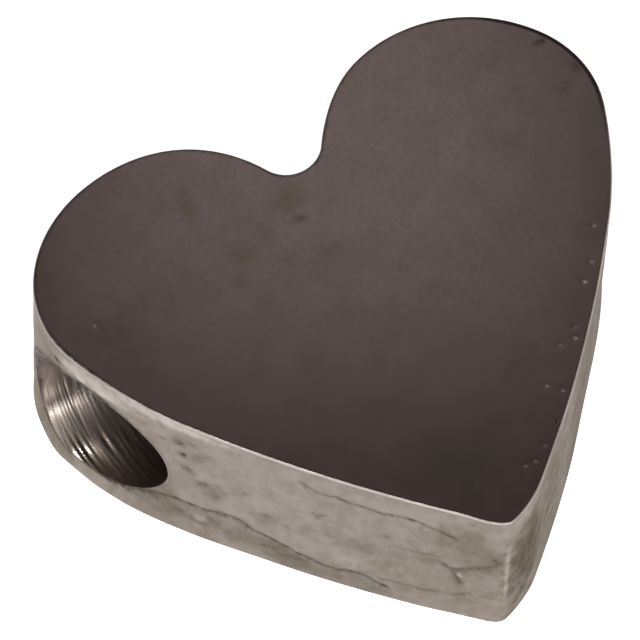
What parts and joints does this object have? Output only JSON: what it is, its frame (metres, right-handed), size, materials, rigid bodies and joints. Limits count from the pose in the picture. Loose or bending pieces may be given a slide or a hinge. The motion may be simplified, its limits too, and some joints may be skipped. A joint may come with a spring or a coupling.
{
  "type": "heart bead charm",
  "caption": "Flat steel heart cut from plate, with a round bore through both lobes so that it slides on a cord or chain.",
  "frame": {"origin": "centre of the heart's width and height, on its flat back, on which it lies", "axes": "+X along the bore, from one lobe to the other; +Y from the tip towards the notch between the lobes; +Z out of the polished face"},
  "size_m": [0.011, 0.0094, 0.004],
  "materials": {
    "steel": "polished on the face, raw and satin on the side walls, turned rings in the bore"
  },
  "bodies": {
    "root": {"heart_bead": "steel"}
  },
  "joints": []
}
